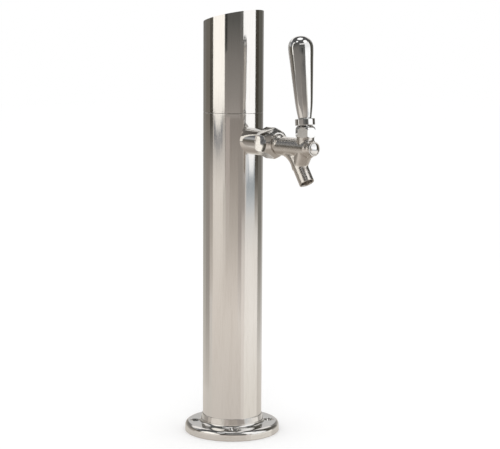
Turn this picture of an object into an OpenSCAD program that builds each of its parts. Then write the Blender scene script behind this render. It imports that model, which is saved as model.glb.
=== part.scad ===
// A single-faucet draft beer tower. Z is up, the faucet points along -Y,
// and the origin is the centre of the base's underside.

/* [Base] */
// Diameter of the base flange
base_d = 122; // [110:1:160]
// Thickness of the flange plate
base_t = 12.2; // [9:0.1:16]
// Radius that rounds the flange's upper edge
base_edge = 5.6; // [2:0.1:6]
// Diameter of the hub round the column
hub_d = 80.2; // [79:0.1:88]
// Height of the hub's top
hub_h = 22.5; // [18:0.1:32]
// Height of the hub's bevel
hub_bevel = 6.4; // [2:0.1:8]
// Depth that the bevel takes off the hub's wall
hub_bevel_in = 1.3; // [0.5:0.1:1.5]
// Fillet between the plate and the hub
hub_fillet = 3.2; // [1:0.1:4]
// Thickness of the ledge that the column stands on
ledge_t = 5; // [3:0.1:7]
// Diameter of the passage for the beer line
passage_d = 66; // [50:1:68]
// Place of the screw holes between the hub and the flange's edge
bolt_place_share = 0.378; // [0.34:0.002:0.42]
// Number of screw holes
bolt_count = 4; // [3:1:6]
// Turn of the first screw hole from the faucet's direction
bolt_turn = 54; // [0:1:90]
// Diameter of a screw hole
bolt_hole_d = 6.2; // [4:0.1:6.5]
// Diameter of a screw hole's countersink
bolt_sink_d = 12.4; // [8:0.1:12.8]
// Depth of the straight recess above the countersink
bolt_recess = 0.9; // [0.2:0.1:2]
// Thickness of the gasket let into the underside
gasket_t = 1.6; // [1:0.1:3]
// Width of the gasket's ring
gasket_w = 10; // [6:0.1:11]

/* [Column] */
// Outside diameter of the column and the cap
column_d = 76.2; // [70:0.1:77]
// Wall of the column and the cap
column_wall = 1.5; // [1.2:0.1:2.5]
// Height of the seam between the column and the cap
seam_z = 413; // [360:1:520]
// Diameter of the shank's hole in the column
column_hole_d = 23.4; // [22.6:0.1:24]

/* [Cap] */
// Height of the cap at its low rear edge
cap_rear_h = 111.8; // [70:1:160]
// Slope of the cap's top, rising towards the faucet's side
cap_slope = 12.2; // [0:0.1:25]
// Turn of the cap's high side from the faucet's direction
cap_turn = 16; // [-45:1:45]
// Thickness of the cap's top plate
cap_plate_t = 1.6; // [1.2:0.1:3]
// Depth of the plug sleeve below the seam
sleeve_depth = 15.5; // [12:0.5:18]
// Height of the plug sleeve above the seam
sleeve_rise = 16; // [10:1:30]
// Wall of the plug sleeve
sleeve_wall = 2.5; // [2.2:0.1:4]
// Thickness of a sleeve ring's cord
oring_d = 1.4; // [1:0.1:1.6]
// Distance between the two sleeve rings
oring_pitch = 6; // [4:0.5:8]
// Joint line between the column and the cap
seam_gap = 0.3; // [0.1:0.05:0.5]
// Chamfer on both edges of the joint line
seam_chamfer = 0.35; // [0.1:0.05:0.5]

/* [Shank] */
// Distance from the seam down to the shank's axis
shank_drop = 34.5; // [34:0.5:60]
// Diameter of the shank's threaded body
shank_d = 22.2; // [21:0.1:22.4]
// Diameter of the shank's head
shank_head_d = 28.4; // [27:0.1:29]
// Length of the shank's head
shank_head_l = 16.3; // [15.3:0.1:18]
// Length of the shank's body behind the head
shank_body_l = 48.2; // [47.2:0.1:49.2]
// Diameter of the beer bore
shank_bore_d = 6.4; // [4.8:0.1:9]
// Diameter of the wide mouth in the head
shank_mouth_d = 20; // [19.6:0.1:21]
// Depth of the wide mouth
shank_mouth_l = 12; // [10:0.1:12]
// Diameter of the saddle collar
saddle_d = 33.2; // [30:0.1:40]
// How far the saddle collar stands off the column
saddle_l = 25.6; // [24.6:0.1:28]
// Diameter of the backing saddle inside the column
backing_d = 30; // [26:0.5:31]
// Thickness of the backing saddle on the axis
backing_t = 6.4; // [5:0.1:8]
// Width across the flats of the lock nut and the elbow nut
tail_nut_flats = 28.4; // [27:0.1:29]
// Thickness of the lock nut
lock_nut_t = 7.5; // [5:0.1:8]
// Length of the elbow nut
elbow_nut_l = 12.6; // [11:0.1:14]

/* [Beer line] */
// Outside radius of the elbow's tube
elbow_r = 6; // [5.2:0.1:6.6]
// Radius of the elbow's bend
elbow_bend = 9; // [8:0.1:9.5]
// Outside diameter of the line
line_d = 11; // [9.6:0.1:12]
// Bore of the line
line_bore_d = 6.4; // [5.6:0.1:7]
// Bore of the elbow and the joiner
joiner_bore_d = 4.4; // [3:0.1:4.8]
// Length of a barb inside the line
barb_l = 16; // [12:0.5:22]
// Width across the flats of the joiner's hexagon
joiner_flats = 14; // [12:0.5:16]
// Height of the joiner's hexagon
joiner_hex_h = 8; // [5:0.5:10]
// Diameter of the joiner's lower stub
stub_d = 8; // [7:0.1:9]
// Length of the joiner's lower stub
stub_l = 13; // [8:0.5:18]
// Height of the stub's end above the base
stub_z = 3; // [1:0.5:5]
// Width of a hose clamp
clamp_w = 7; // [5:0.5:9]
// Thickness of a hose clamp's band
clamp_t = 0.8; // [0.5:0.1:1.2]
// Free height between the foam sleeve and the parts at its ends
foam_gap = 12; // [6:1:30]

/* [Coupling nut] */
// Width across the corners of the coupling nut
nut_corners = 39; // [37:0.1:44]
// Length of the coupling nut
nut_l = 25.1; // [24.3:0.1:27]
// Length of the nut's domed shoulder
nut_dome_l = 8; // [5:0.1:10]
// Diameter of the nut's front face
nut_face_d = 27; // [26.2:0.1:30]
// Depth of the chamfer on the nut's rear corners
nut_chamfer = 1.8; // [0.5:0.1:3]
// Distance from the saddle collar to the nut
nut_gap = 1.2; // [0.5:0.1:2]
// Thickness of the coupling washer
coupling_washer_t = 1.6; // [1:0.1:3]
// Thickness of the snap ring that holds the nut
snap_t = 1.6; // [1.2:0.1:2]
// Diameter of the snap ring
snap_d = 27; // [26.2:0.1:27.6]
// Distance from the faucet's rear face to the snap ring
snap_set = 2; // [1.5:0.1:2.5]

/* [Faucet body] */
// Diameter of the rear neck inside the coupling nut
neck_d = 23.8; // [23.4:0.1:24.4]
// Length of the rear neck
neck_l = 13.2; // [12.8:0.1:14]
// Length of the slope from the rear neck to the barrel
neck_slope_l = 5; // [3:0.1:7]
// Diameter of the rear opening
inlet_d = 20.4; // [20:0.1:20.8]
// Depth of the rear opening, down to the valve seat
inlet_l = 10.9; // [10.6:0.1:11.4]
// Distance of the barrel's axis below the shank's axis
barrel_drop = 2.4; // [2:0.1:2.8]
// Diameter of the barrel
barrel_d = 23.2; // [22.6:0.1:24.6]
// Distance from the rear face to the barrel's front end
barrel_l = 70.2; // [68.8:0.1:71.8]
// Length of the rounding at the barrel's front end
barrel_nose_l = 3.6; // [2:0.1:5]
// Diameter of the barrel's front end
barrel_nose_d = 18.2; // [17.8:0.1:19.4]
// Diameter of the front boss
boss_d = 17.4; // [17:0.1:17.8]
// Length of the front boss beyond the barrel
boss_l = 4.3; // [3:0.1:7]
// Diameter of the valve seat's hole
seat_hole_d = 7.8; // [7:0.1:8.2]
// Diameter of the shaft's guide bore
guide_d = 11.1; // [10.7:0.1:11.5]
// Distance of the spout tip in front of the pivot
spout_ahead = 3.4; // [1:0.1:6]
// Depth of the spout tip below the shank's axis
spout_depth = 44.2; // [42:0.1:56]
// Lean of the spout, its tip forward
spout_lean = 34; // [30:0.1:38]
// Outside diameter of the spout
spout_d = 18.6; // [18.4:0.1:19.4]
// Wall of the spout
spout_wall = 1.8; // [1.5:0.1:2.4]
// Length of the outlet's bore, up to the throat
outlet_l = 20; // [14:0.5:24]
// Diameter of the throat above the outlet's bore
throat_d = 14; // [12:0.1:14.8]
// Radius under the bend from the barrel to the spout
bend_r = 30; // [26:0.5:32]
// Chamfer round the spout's rim
rim_chamfer = 0.8; // [0.3:0.1:1]
// Diameter of the chest between the barrel and the spout
chest_d = 22.2; // [20.6:0.1:22.8]

/* [Lever] */
// Distance of the pivot behind the barrel's front end
pivot_back = 12.2; // [11.8:0.1:12.6]
// Height of the pivot above the shank's axis
pivot_rise = 19.1; // [18.9:0.1:19.5]
// Backward lean of the lever at rest
lever_lean = 6; // [5.4:0.1:6.4]
// Forward swing of the lever
lever_swing = 28; // [20:1:28]
// Diameter of the lever's ball
ball_d = 13; // [12.8:0.1:13.2]
// Diameter of the lever's stem above the ball
stem_d = 7; // [6:0.1:7]
// Diameter of the finger below the ball
finger_d = 5.2; // [4.4:0.1:5.2]
// Diameter of the finger just above its tip
waist_d = 3.8; // [3:0.1:3.8]
// Diameter of the finger's round tip
tip_d = 6.4; // [6:0.1:6.6]
// Diameter of the threads on the lever
stud_d = 9.5; // [8:0.1:9.6]
// Height of the stud's top above the pivot
stud_top = 28; // [24:0.5:32]
// Height above the pivot where the stud begins
stud_foot = 9.9; // [9.6:0.1:10.4]

/* [Bonnet] */
// Diameter of the upright neck under the bonnet
post_d = 21.2; // [20.6:0.1:21.8]
// Diameter of the threaded spigot inside the bonnet
spigot_d = 19.2; // [19:0.1:19.4]
// Height of the spigot's top above the pivot
spigot_top = 1.2; // [0.8:0.1:1.4]
// Bore of the spigot
cup_d = 16.4; // [16:0.1:16.6]
// Width across the corners of the bonnet
bonnet_corners = 25.4; // [25.2:0.1:26.4]
// Height of the bonnet's underside below the pivot
bonnet_foot = 8.2; // [8:0.1:8.8]
// Height of the bonnet's top above the pivot
bonnet_top = 5.9; // [5.6:0.1:6.1]
// Diameter of the bonnet's top face
bonnet_face_d = 17; // [16.6:0.1:17.6]
// Height of the bonnet's upper corners above the pivot
bonnet_corner_top = 0.9; // [0.4:0.1:1]
// Height of the chamfer under the bonnet
bonnet_chamfer = 1.6; // [0.5:0.1:3]
// Height of the ball washer's top above the pivot
washer_top = 3.1; // [2.9:0.1:3.2]
// Height of the ball washer's underside above the pivot
washer_foot = 0.5; // [0.4:0.1:0.8]
// Bottom of the ball cup below the pivot
cup_foot = 7.2; // [6.8:0.1:7.4]
// Top of the ball cup below the pivot
cup_top = 1.4; // [1.2:0.1:1.6]

/* [Shaft] */
// Diameter of the shaft's stem
shaft_d = 4.8; // [4:0.1:5]
// Diameter of the guide land
land_d = 11; // [10.6:0.1:11]
// Distance from the rear face to the stem's end
shaft_tail = 3; // [2.6:0.1:3.4]
// Length of the guide land
land_l = 19.6; // [19.2:0.1:20]
// Distance from the land's front end to the front plug
land_gap = 1.3; // [1:0.1:1.5]
// Diameter of the seat washer
seat_washer_d = 10; // [9.6:0.1:10]
// Thickness of the seat washer
seat_washer_t = 3; // [2:0.1:3.4]
// Width across the corners of the shaft nut
shaft_nut_corners = 8.4; // [8:0.1:8.6]
// Thickness of the shaft nut
shaft_nut_t = 4; // [3:0.1:4.2]

/* [Front plug] */
// Diameter of the plug's thread
plug_d = 12.8; // [12.4:0.1:13.2]
// Length of the plug's thread
plug_l = 3.6; // [3:0.1:3.8]
// Diameter of the plug's head
plug_head_d = 13.8; // [13.4:0.1:14.2]
// Width of the groove round the plug's head
plug_groove = 0.5; // [0.3:0.1:0.8]
// Thickness of the plug's head at its edge
plug_head_t = 1.7; // [1.2:0.1:2.2]
// Height of the dome on the plug's head
plug_dome = 1.5; // [0.8:0.1:2]

/* [Handle] */
// Diameter of the ferrule disc
ferrule_d = 23.8; // [23.2:0.1:25.2]
// Height of the disc's underside above the pivot
ferrule_foot = 6.1; // [6:0.1:6.4]
// Height of the disc's top above the pivot
ferrule_top = 14.1; // [13.6:0.1:15.6]
// Wall of the disc's skirt
ferrule_wall = 1.3; // [1:0.1:1.5]
// Thickness of the disc's web
ferrule_web = 3.3; // [2.6:0.1:3.4]
// Rounding of the disc's edges
ferrule_edge = 1; // [0.4:0.1:1.2]
// Length of the handle
handle_l = 98.6; // [80:0.1:160]
// Diameter of the handle at its foot
handle_foot_d = 16; // [15.4:0.1:17.6]
// Diameter where the handle's taper changes
handle_waist_d = 20.8; // [18:0.1:24]
// Height of that change above the handle's foot
handle_waist_h = 16.5; // [12:0.5:24]
// Largest diameter of the handle
handle_max_d = 30.2; // [26:0.1:38]
// Height of the rounded top above the largest diameter
handle_dome_h = 14.2; // [13:0.1:15]
// Fullness of the rounded top: 1 is an ellipse, less is squarer
handle_fullness = 0.86; // [0.7:0.02:1]
// Diameter of the threaded insert
insert_d = 12.4; // [11.6:0.1:12.8]
// Length of the threaded insert
insert_l = 15.5; // [13:0.1:16]

/* [Hidden] */
$fn = 96;

// overrun of every cut, clearances of threads and seats, and the thinnest visible line
overrun = 2;
thread_gap = 0.05;
seat_gap = 0.05;
fit_gap = 0.3;

half_share = 0.5;
hex_share = cos(30);
lip_share = 0.32;

base_r = base_d / 2;
hub_r = hub_d / 2;
bolt_r = hub_r + bolt_place_share * (base_r - hub_r);
gasket_r = passage_d / 2 + gasket_w;
column_r = column_d / 2;
column_bore_r = column_r - column_wall;
socket_r = column_r + seat_gap;
shank_z = seam_z - shank_drop;

// places along -Y, from the column's axis
shank_face = column_r + saddle_l;
shank_tip = shank_face + shank_head_l;
shank_tail = shank_face - shank_body_l;
backing_face = column_bore_r - backing_t;
nut_rear = shank_face + nut_gap;
nut_front = nut_rear + nut_l;
faucet_rear = shank_tip + coupling_washer_t;
snap_front = faucet_rear + snap_set + snap_t;
barrel_rear = nut_front - faucet_rear + fit_gap;

pivot_reach = barrel_l - pivot_back;
spout_reach = pivot_reach + spout_ahead;

neck_r = neck_d / 2;
barrel_r = barrel_d / 2;
spout_r = spout_d / 2;
spout_bore_r = spout_r - spout_wall;
chest_r = chest_d / 2;
bend_bury = barrel_r / 24;
// the bend's centre: bend_r below the barrel and bend_r behind the spout
bend_up = bend_bury - barrel_drop - barrel_r - bend_r;
spout_run = (bend_up + spout_depth + (spout_r + bend_r) * sin(spout_lean)) / cos(spout_lean);
bend_out = spout_reach - spout_run * sin(spout_lean) - (spout_r + bend_r) * cos(spout_lean);
// the chest: a swelling from the spout up to the front of the barrel
chest_low_r = spout_r - rim_chamfer;
chest_low_run = spout_run - spout_r / 2;
chest_low = [spout_reach - chest_low_run * sin(spout_lean),
    chest_low_run * cos(spout_lean) - spout_depth];
chest_high = [pivot_reach, -barrel_drop];

// the arm from the pivot down to the shaft, and how far it moves the shaft
arm = (pivot_rise + barrel_drop) / cos(lever_lean);
shaft_travel = arm * (sin(lever_swing - lever_lean) + sin(lever_lean));
tip_rest = pivot_reach + arm * sin(lever_lean);
slot_half = tip_d / 2 + 0.8 * fit_gap;

ball_r = ball_d / 2;
ball_seat_r = ball_r + seat_gap;
post_top = pivot_rise - bonnet_foot;
boss_front = barrel_l + boss_l;
plug_seat = boss_front - plug_head_t;
plug_rear = plug_seat - plug_l;
land_to = plug_rear - land_gap;
land_from = land_to - land_l;
stub_top = stub_z + stub_l;
line_foot = stub_top + joiner_hex_h + fit_gap;
line_top = shank_z - elbow_bend - elbow_r / 2;
foam_foot = line_foot + barb_l + fit_gap;
handle_foot = ferrule_top + fit_gap / 3;
handle_top = handle_foot + handle_l;
cap_front_z = seam_z + cap_rear_h + column_d * tan(cap_slope);

echo(shank_z = shank_z, faucet_rear = faucet_rear, cap_front_z = cap_front_z);
echo(shaft_travel = shaft_travel, tip_rest = tip_rest, arm = arm);
echo(bend_out = bend_out, bend_up = bend_up, spout_run = spout_run);

// a round bar lying along -Y, or tapering along it
module front_rod(r, from, to, up = 0) {
    translate([0, -from, up]) rotate([90, 0, 0]) cylinder(h = to - from, r = r);
}
module front_cone(r_from, r_to, from, to, up = 0) {
    translate([0, -from, up]) rotate([90, 0, 0]) cylinder(h = to - from, r1 = r_from, r2 = r_to);
}
// a hexagonal bar along -Y with corners at top and bottom
module front_hex(corners, from, to, up = 0) {
    translate([0, -from, up]) rotate([90, 90, 0])
        cylinder(h = to - from, d = corners, $fn = 6);
}
module upright_rod(r, from, to) {
    translate([0, 0, from]) cylinder(h = to - from, r = r);
}
module upright_ring(r_out, r_in, from, to) {
    difference() {
        upright_rod(r_out, from, to);
        upright_rod(r_in, from - overrun, to + overrun);
    }
}
module front_ring(r_out, r_in, from, to, up = 0) {
    difference() {
        front_rod(r_out, from, to, up);
        front_rod(r_in, from - overrun, to + overrun, up);
    }
}

// frames: on the shank's axis, at the faucet's rear face, at the lever's pivot and up the lever
module at_shank() translate([0, 0, shank_z]) children();
module at_faucet() translate([0, -faucet_rear, shank_z]) children();
module at_pivot() at_faucet() translate([0, -pivot_reach, pivot_rise]) children();
module at_lever() at_pivot() rotate([-lever_lean, 0, 0]) children();
// a plane seen from the side: x runs forward and y up
module side_on() rotate([90, 0, -90]) children();
// the bend's centre, turned to the spout, and the spout's axis from the bend down to the tip
module at_bend() translate([0, -bend_out, bend_up]) side_on() rotate([0, 0, spout_lean]) children();
module down_spout() at_bend() translate([bend_r + spout_r, 0, 0]) rotate([90, 0, 0]) children();

module bolt_places() {
    for (i = [0 : bolt_count - 1])
        rotate([0, 0, bolt_turn - 90 + i * 360 / bolt_count])
            translate([bolt_r, 0, 0]) children();
}

// points of a quarter round about a centre, from one angle to another
function arc(c, r, from, to, steps = 10) =
    [for (i = [0 : steps]) let (a = from + (to - from) * i / steps) c + r * [cos(a), sin(a)]];

module base_flange() {
    sink_h = (bolt_sink_d - bolt_hole_d) / 2;
    edge_c = [base_r - base_edge, base_t - base_edge];
    fillet_c = [hub_r + hub_fillet, base_t + hub_fillet];
    bevel_z = hub_h - hub_bevel;
    color("gainsboro") difference() {
        rotate_extrude() polygon(concat(
            [[passage_d / 2, 0], [base_r, 0]],
            arc(edge_c, base_edge, 0, 90),
            arc(fillet_c, hub_fillet, 270, 180),
            [[hub_r, bevel_z], [hub_r - hub_bevel_in, hub_h], [passage_d / 2, hub_h]]));
        upright_rod(socket_r, ledge_t, hub_h + overrun);
        upright_rod(gasket_r, -overrun, gasket_t);
        bolt_places() {
            upright_rod(bolt_hole_d / 2, -overrun, base_t + overrun);
            translate([0, 0, base_t - bolt_recess - sink_h])
                cylinder(h = sink_h, d1 = bolt_hole_d, d2 = bolt_sink_d);
            upright_rod(bolt_sink_d / 2, base_t - bolt_recess, base_t + overrun);
        }
    }
}

module base_gasket() {
    color("dimgray")
        upright_ring(gasket_r - seat_gap, passage_d / 2, 0, gasket_t - seat_gap);
}

module column_tube() {
    top = seam_z;
    color("silver") difference() {
        rotate_extrude() polygon([
            [column_bore_r, ledge_t], [column_r, ledge_t],
            [column_r, top - seam_chamfer], [column_r - seam_chamfer, top],
            [column_bore_r, top]]);
        at_shank() front_rod(column_hole_d / 2, 0, column_r + overrun);
    }
}

// the outside of the cap above a given height, less a skin of a given thickness
module cap_solid(r, foot, plate) {
    low = seam_z + cap_rear_h - plate / cos(cap_slope);
    tall = cap_front_z - foot + overrun;
    difference() {
        upright_rod(r, foot, cap_front_z + overrun);
        rotate([0, 0, cap_turn]) translate([0, column_r, low]) rotate([-cap_slope, 0, 0])
            translate([-column_d, -2 * column_d, 0]) cube([2 * column_d, 3 * column_d, tall]);
    }
}

module cap_shell() {
    foot = seam_z + seam_gap;
    color("silver") difference() {
        cap_solid(column_r, foot, 0);
        cap_solid(column_bore_r, foot - overrun, cap_plate_t);
        rotate_extrude() polygon([
            [column_r - seam_chamfer, foot], [column_r, foot + seam_chamfer],
            [column_r + overrun, foot + seam_chamfer], [column_r + overrun, foot - overrun],
            [column_r - seam_chamfer, foot - overrun]]);
    }
}

// centres of the two ring cords, and their radius about the column's axis
ring_out = column_bore_r - seat_gap - oring_d / 2;
ring_low = seam_z - sleeve_depth + oring_pitch / 1.5;
ring_heights = [ring_low, ring_low + oring_pitch];

module cap_sleeve() {
    sleeve_r = column_bore_r - 4 * seat_gap;
    plug_r = column_bore_r - seat_gap;
    inner_r = sleeve_r - sleeve_wall;
    foot = seam_z - sleeve_depth;
    groove_r = ring_out - oring_d / 2 - seat_gap;
    color("darkgray") difference() {
        union() {
            upright_rod(sleeve_r, foot, seam_z + seam_gap);
            upright_rod(plug_r, seam_z + seam_gap, seam_z + sleeve_rise);
        }
        upright_rod(inner_r, foot - overrun, seam_z + sleeve_rise + overrun);
        for (z = ring_heights)
            upright_ring(column_r, groove_r, z - oring_d / 2 - seat_gap, z + oring_d / 2 + seat_gap);
    }
}

module cap_rings() {
    color("black") for (z = ring_heights)
        translate([0, 0, z]) rotate_extrude()
            translate([ring_out, 0, 0]) circle(d = oring_d, $fn = 24);
}

module saddle_collar() {
    color("silver") at_shank() difference() {
        front_rod(saddle_d / 2, column_r / 2, shank_face);
        front_rod(column_hole_d / 2, 0, shank_face + overrun);
        upright_rod(column_r + seat_gap, -saddle_d, saddle_d);
    }
}

module backing_saddle() {
    color("darkgray") at_shank() intersection() {
        front_ring(backing_d / 2, column_hole_d / 2, backing_face, column_r);
        upright_rod(column_bore_r - seat_gap, -backing_d, backing_d);
    }
}

module shank() {
    color("silver") at_shank() difference() {
        union() {
            front_rod(shank_head_d / 2, shank_face, shank_tip);
            front_rod(shank_d / 2, shank_tail, shank_face + overrun);
        }
        front_rod(shank_mouth_d / 2, shank_tip - shank_mouth_l, shank_tip + overrun);
        front_rod(shank_bore_d / 2, shank_tail - overrun, shank_tip);
    }
}

// a hexagonal nut along -Y with both ends chamfered
module front_nut(corners, bore_r, from, to, chamfer) {
    r = corners / 2;
    difference() {
        intersection() {
            front_hex(corners, from, to);
            translate([0, -from, 0]) rotate([90, 0, 0]) rotate_extrude() polygon([
                [0, 0], [r - chamfer, 0], [r + seat_gap, chamfer * tan(30)],
                [r + seat_gap, to - from - chamfer * tan(30)], [r - chamfer, to - from],
                [0, to - from]]);
        }
        front_rod(bore_r, from - overrun, to + overrun);
    }
}

module lock_nut() {
    color("darkgoldenrod") at_shank()
        front_nut(tail_nut_flats / hex_share, shank_d / 2 + thread_gap,
            backing_face - lock_nut_t, backing_face, nut_chamfer);
}

// places along -Y of the parts behind the shank's tail
elbow_face = shank_tail - coupling_washer_t;
elbow_lip = elbow_face - 2 * lip_share * elbow_r;
elbow_nut_rear = elbow_lip - lip_share * elbow_r;

module elbow_washer() {
    color("black") at_shank()
        front_ring(shank_d / 2 - fit_gap, elbow_r, elbow_face + seat_gap, shank_tail - seat_gap);
}

module elbow() {
    barb_r = line_bore_d / 2 - thread_gap;
    bore_r = joiner_bore_d / 2;
    color("silver") at_shank() difference() {
        union() {
            front_rod(shank_d / 2 - fit_gap, elbow_lip, elbow_face);
            front_rod(elbow_r, elbow_bend, elbow_lip + overrun);
            translate([0, -elbow_bend, -elbow_bend]) side_on() rotate([0, 0, 90])
                rotate_extrude(angle = 90) translate([elbow_bend, 0, 0]) circle(r = elbow_r);
            upright_rod(elbow_r, -elbow_bend - elbow_r / 2 + fit_gap, -elbow_bend);
            upright_rod(barb_r, -elbow_bend - elbow_r / 2 - barb_l, -elbow_bend);
        }
        front_rod(bore_r, elbow_bend, elbow_face + overrun);
        translate([0, -elbow_bend, -elbow_bend]) side_on() rotate([0, 0, 90])
            rotate_extrude(angle = 90) translate([elbow_bend, 0, 0]) circle(r = bore_r);
        upright_rod(bore_r, -elbow_bend - elbow_r / 2 - barb_l - overrun, -elbow_bend);
    }
}

module elbow_nut() {
    front = elbow_nut_rear + elbow_nut_l;
    color("darkgoldenrod") at_shank() difference() {
        front_nut(tail_nut_flats / hex_share, elbow_r + 2 * fit_gap,
            elbow_nut_rear, front, nut_chamfer);
        front_rod(shank_d / 2 + thread_gap, elbow_lip - seat_gap, front + overrun);
    }
}

module beer_line() {
    color("lightyellow") upright_ring(line_d / 2, line_bore_d / 2, line_foot, line_top);
}

clamp_places = [line_foot + barb_l / 4, line_top - barb_l / 4 - clamp_w];

module hose_clamps() {
    band_r = line_d / 2 + seat_gap;
    color("silver") for (z = clamp_places)
        difference() {
            union() {
                upright_rod(band_r + clamp_t, z, z + clamp_w);
                translate([-line_d / 6, band_r - clamp_t, z])
                    cube([line_d / 3, 4 * clamp_t, clamp_w]);
            }
            upright_rod(band_r, z - overrun, z + clamp_w + overrun);
        }
}

module line_joiner() {
    barb_r = line_bore_d / 2 - thread_gap;
    color("darkgoldenrod") difference() {
        union() {
            upright_rod(stub_d / 2, stub_z, stub_top);
            translate([0, 0, stub_top])
                cylinder(h = joiner_hex_h, d = joiner_flats / hex_share, $fn = 6);
            upright_rod(barb_r, stub_top, line_foot + barb_l);
        }
        upright_rod(joiner_bore_d / 2, stub_z - overrun, line_foot + barb_l + overrun);
    }
}

module foam_sleeve() {
    color("gray") upright_ring(column_bore_r - fit_gap, line_d / 2 + fit_gap,
        foam_foot, line_top - barb_l / 4 - clamp_w - foam_gap);
}

module coupling_washer() {
    color("black") at_shank()
        front_ring(neck_r - fit_gap, inlet_d / 2, shank_tip + seat_gap, faucet_rear - seat_gap);
}

module coupling_nut() {
    r = nut_corners / 2;
    face_r = nut_face_d / 2;
    dome_from = nut_front - nut_dome_l;
    // a ball through the corners at the shoulder and through the edge of the front face
    dome_c = (pow(nut_front, 2) - pow(dome_from, 2) - (r * r - face_r * face_r))
        / (2 * (nut_front - dome_from));
    dome_r = sqrt(r * r + pow(dome_from - dome_c, 2));
    color("silver") at_shank() difference() {
        intersection() {
            front_hex(nut_corners, nut_rear, nut_front);
            front_cone(r - nut_chamfer, r + nut_l - nut_chamfer, nut_rear, nut_rear + nut_l);
            translate([0, -dome_c, 0]) sphere(r = dome_r);
        }
        front_rod(shank_head_d / 2 + thread_gap, nut_rear - overrun, snap_front);
        front_rod(neck_r + 4 * seat_gap, nut_rear, nut_front + overrun);
    }
}

module snap_ring() {
    gap = snap_t * 2;
    color("dimgray") at_shank() difference() {
        front_ring(snap_d / 2, neck_r - snap_t / 2 + seat_gap, snap_front - snap_t + seat_gap,
            snap_front - seat_gap);
        translate([-gap / 2, -snap_front - overrun, 0])
            cube([gap, snap_t + 2 * overrun, snap_d]);
    }
}

// a tapering limb between two points of the side view
module limb(a, b, r_a, r_b) {
    run = b - a;
    translate([0, -a[0], a[1]]) rotate([atan2(run[0], run[1]), 0, 0])
        cylinder(h = norm(run), r1 = r_a, r2 = r_b);
}

module body_outside() {
    nose_from = barrel_l - barrel_nose_l;
    heel = barrel_r / 5;
    front_rod(neck_r, 0, neck_l);
    front_cone(neck_r, neck_r - barrel_drop, neck_l, neck_l + neck_slope_l);
    front_cone(barrel_r - heel, barrel_r, barrel_rear, barrel_rear + heel, -barrel_drop);
    front_rod(barrel_r, barrel_rear + heel, nose_from, -barrel_drop);
    front_cone(barrel_r, barrel_nose_d / 2, nose_from, barrel_l, -barrel_drop);
    front_rod(boss_d / 2, nose_from, boss_front, -barrel_drop);
    translate([0, -pivot_reach, 0]) {
        upright_rod(post_d / 2, -barrel_drop, post_top);
        upright_rod(spigot_d / 2, post_top - overrun, pivot_rise + spigot_top);
    }
    at_bend() rotate_extrude(angle = 90 - spout_lean)
        translate([bend_r + spout_r, 0, 0]) circle(r = spout_r);
    down_spout() {
        upright_rod(spout_r, 0, spout_run - rim_chamfer);
        translate([0, 0, spout_run - rim_chamfer])
            cylinder(h = rim_chamfer, r1 = spout_r, r2 = spout_r - rim_chamfer);
    }
    limb(chest_low, chest_high, chest_low_r, chest_r);
}

module faucet_body() {
    bore_back = spout_r * 1.5;
    throat_r = throat_d / 2;
    swing = lever_swing - lever_lean;
    wall = fit_gap + finger_d / 2;
    cup_z = pivot_rise - cup_foot;
    slot_z = -barrel_drop;
    guide_from = land_from - shaft_travel - 2 * fit_gap;
    back = [pivot_reach - (pivot_rise - slot_z) * tan(swing) - wall / cos(swing),
        pivot_reach - cup_foot * tan(swing) - wall / cos(swing)];
    front = [pivot_reach + (pivot_rise - slot_z) * tan(lever_lean) + wall + fit_gap,
        pivot_reach + cup_foot * tan(lever_lean) + wall + fit_gap];
    color("silver") at_faucet() difference() {
        body_outside();
        front_rod(inlet_d / 2, -overrun, inlet_l);
        front_rod(seat_hole_d / 2, inlet_l - overrun, guide_from + overrun, -barrel_drop);
        front_rod(guide_d / 2, guide_from, plug_rear + overrun, -barrel_drop);
        front_rod(plug_d / 2 + thread_gap, plug_rear, boss_front, -barrel_drop);
        front_rod(plug_head_d / 2 + plug_groove, plug_seat, boss_front + overrun, -barrel_drop);
        down_spout() {
            upright_rod(spout_bore_r, spout_run - outlet_l, spout_run + overrun);
            upright_rod(throat_r, -bore_back, spout_run - outlet_l + overrun);
            translate([0, 0, -bore_back]) sphere(r = throat_r);
        }
        // the groove of the snap ring
        front_ring(neck_r + overrun, neck_r - snap_t / 2, snap_set, snap_set + snap_t);
        // the slot that the lever's finger swings in
        side_on() linear_extrude(height = tip_d + fit_gap, center = true) polygon([
            [back[0], slot_z], [back[1], cup_z + seat_gap],
            [front[1], cup_z + seat_gap], [front[0], slot_z]]);
        translate([0, -pivot_reach, 0])
            upright_rod(cup_d / 2, cup_z, pivot_rise + spigot_top + overrun);
    }
}

module seat_washer() {
    color("black") at_faucet()
        front_ring(seat_washer_d / 2, shaft_d / 2 + thread_gap, inlet_l - seat_washer_t,
            inlet_l - seat_gap, -barrel_drop);
}

module shaft_nut() {
    to = inlet_l - seat_washer_t - seat_gap;
    color("darkgoldenrod") at_faucet() translate([0, 0, -barrel_drop])
        front_nut(shaft_nut_corners, shaft_d / 2 + thread_gap, to - shaft_nut_t, to,
            shaft_nut_t / 8);
}

module shaft() {
    slot_low = -barrel_drop - tip_d / 2 - fit_gap;
    slot_high = land_d / 2;
    // the slot's front wall leans forward with the finger
    flare = slot_half * tan(lever_swing - lever_lean) / 2;
    color("silver") at_faucet() difference() {
        union() {
            front_rod(shaft_d / 2, shaft_tail, land_from + overrun, -barrel_drop);
            front_rod(land_d / 2, land_from, land_to, -barrel_drop);
        }
        side_on() linear_extrude(height = 2 * slot_half, center = true) polygon([
            [tip_rest - slot_half, slot_low], [tip_rest - slot_half, slot_high],
            [tip_rest + slot_half + flare, slot_high],
            [tip_rest + slot_half, -barrel_drop], [tip_rest + slot_half, slot_low]]);
    }
}

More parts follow.
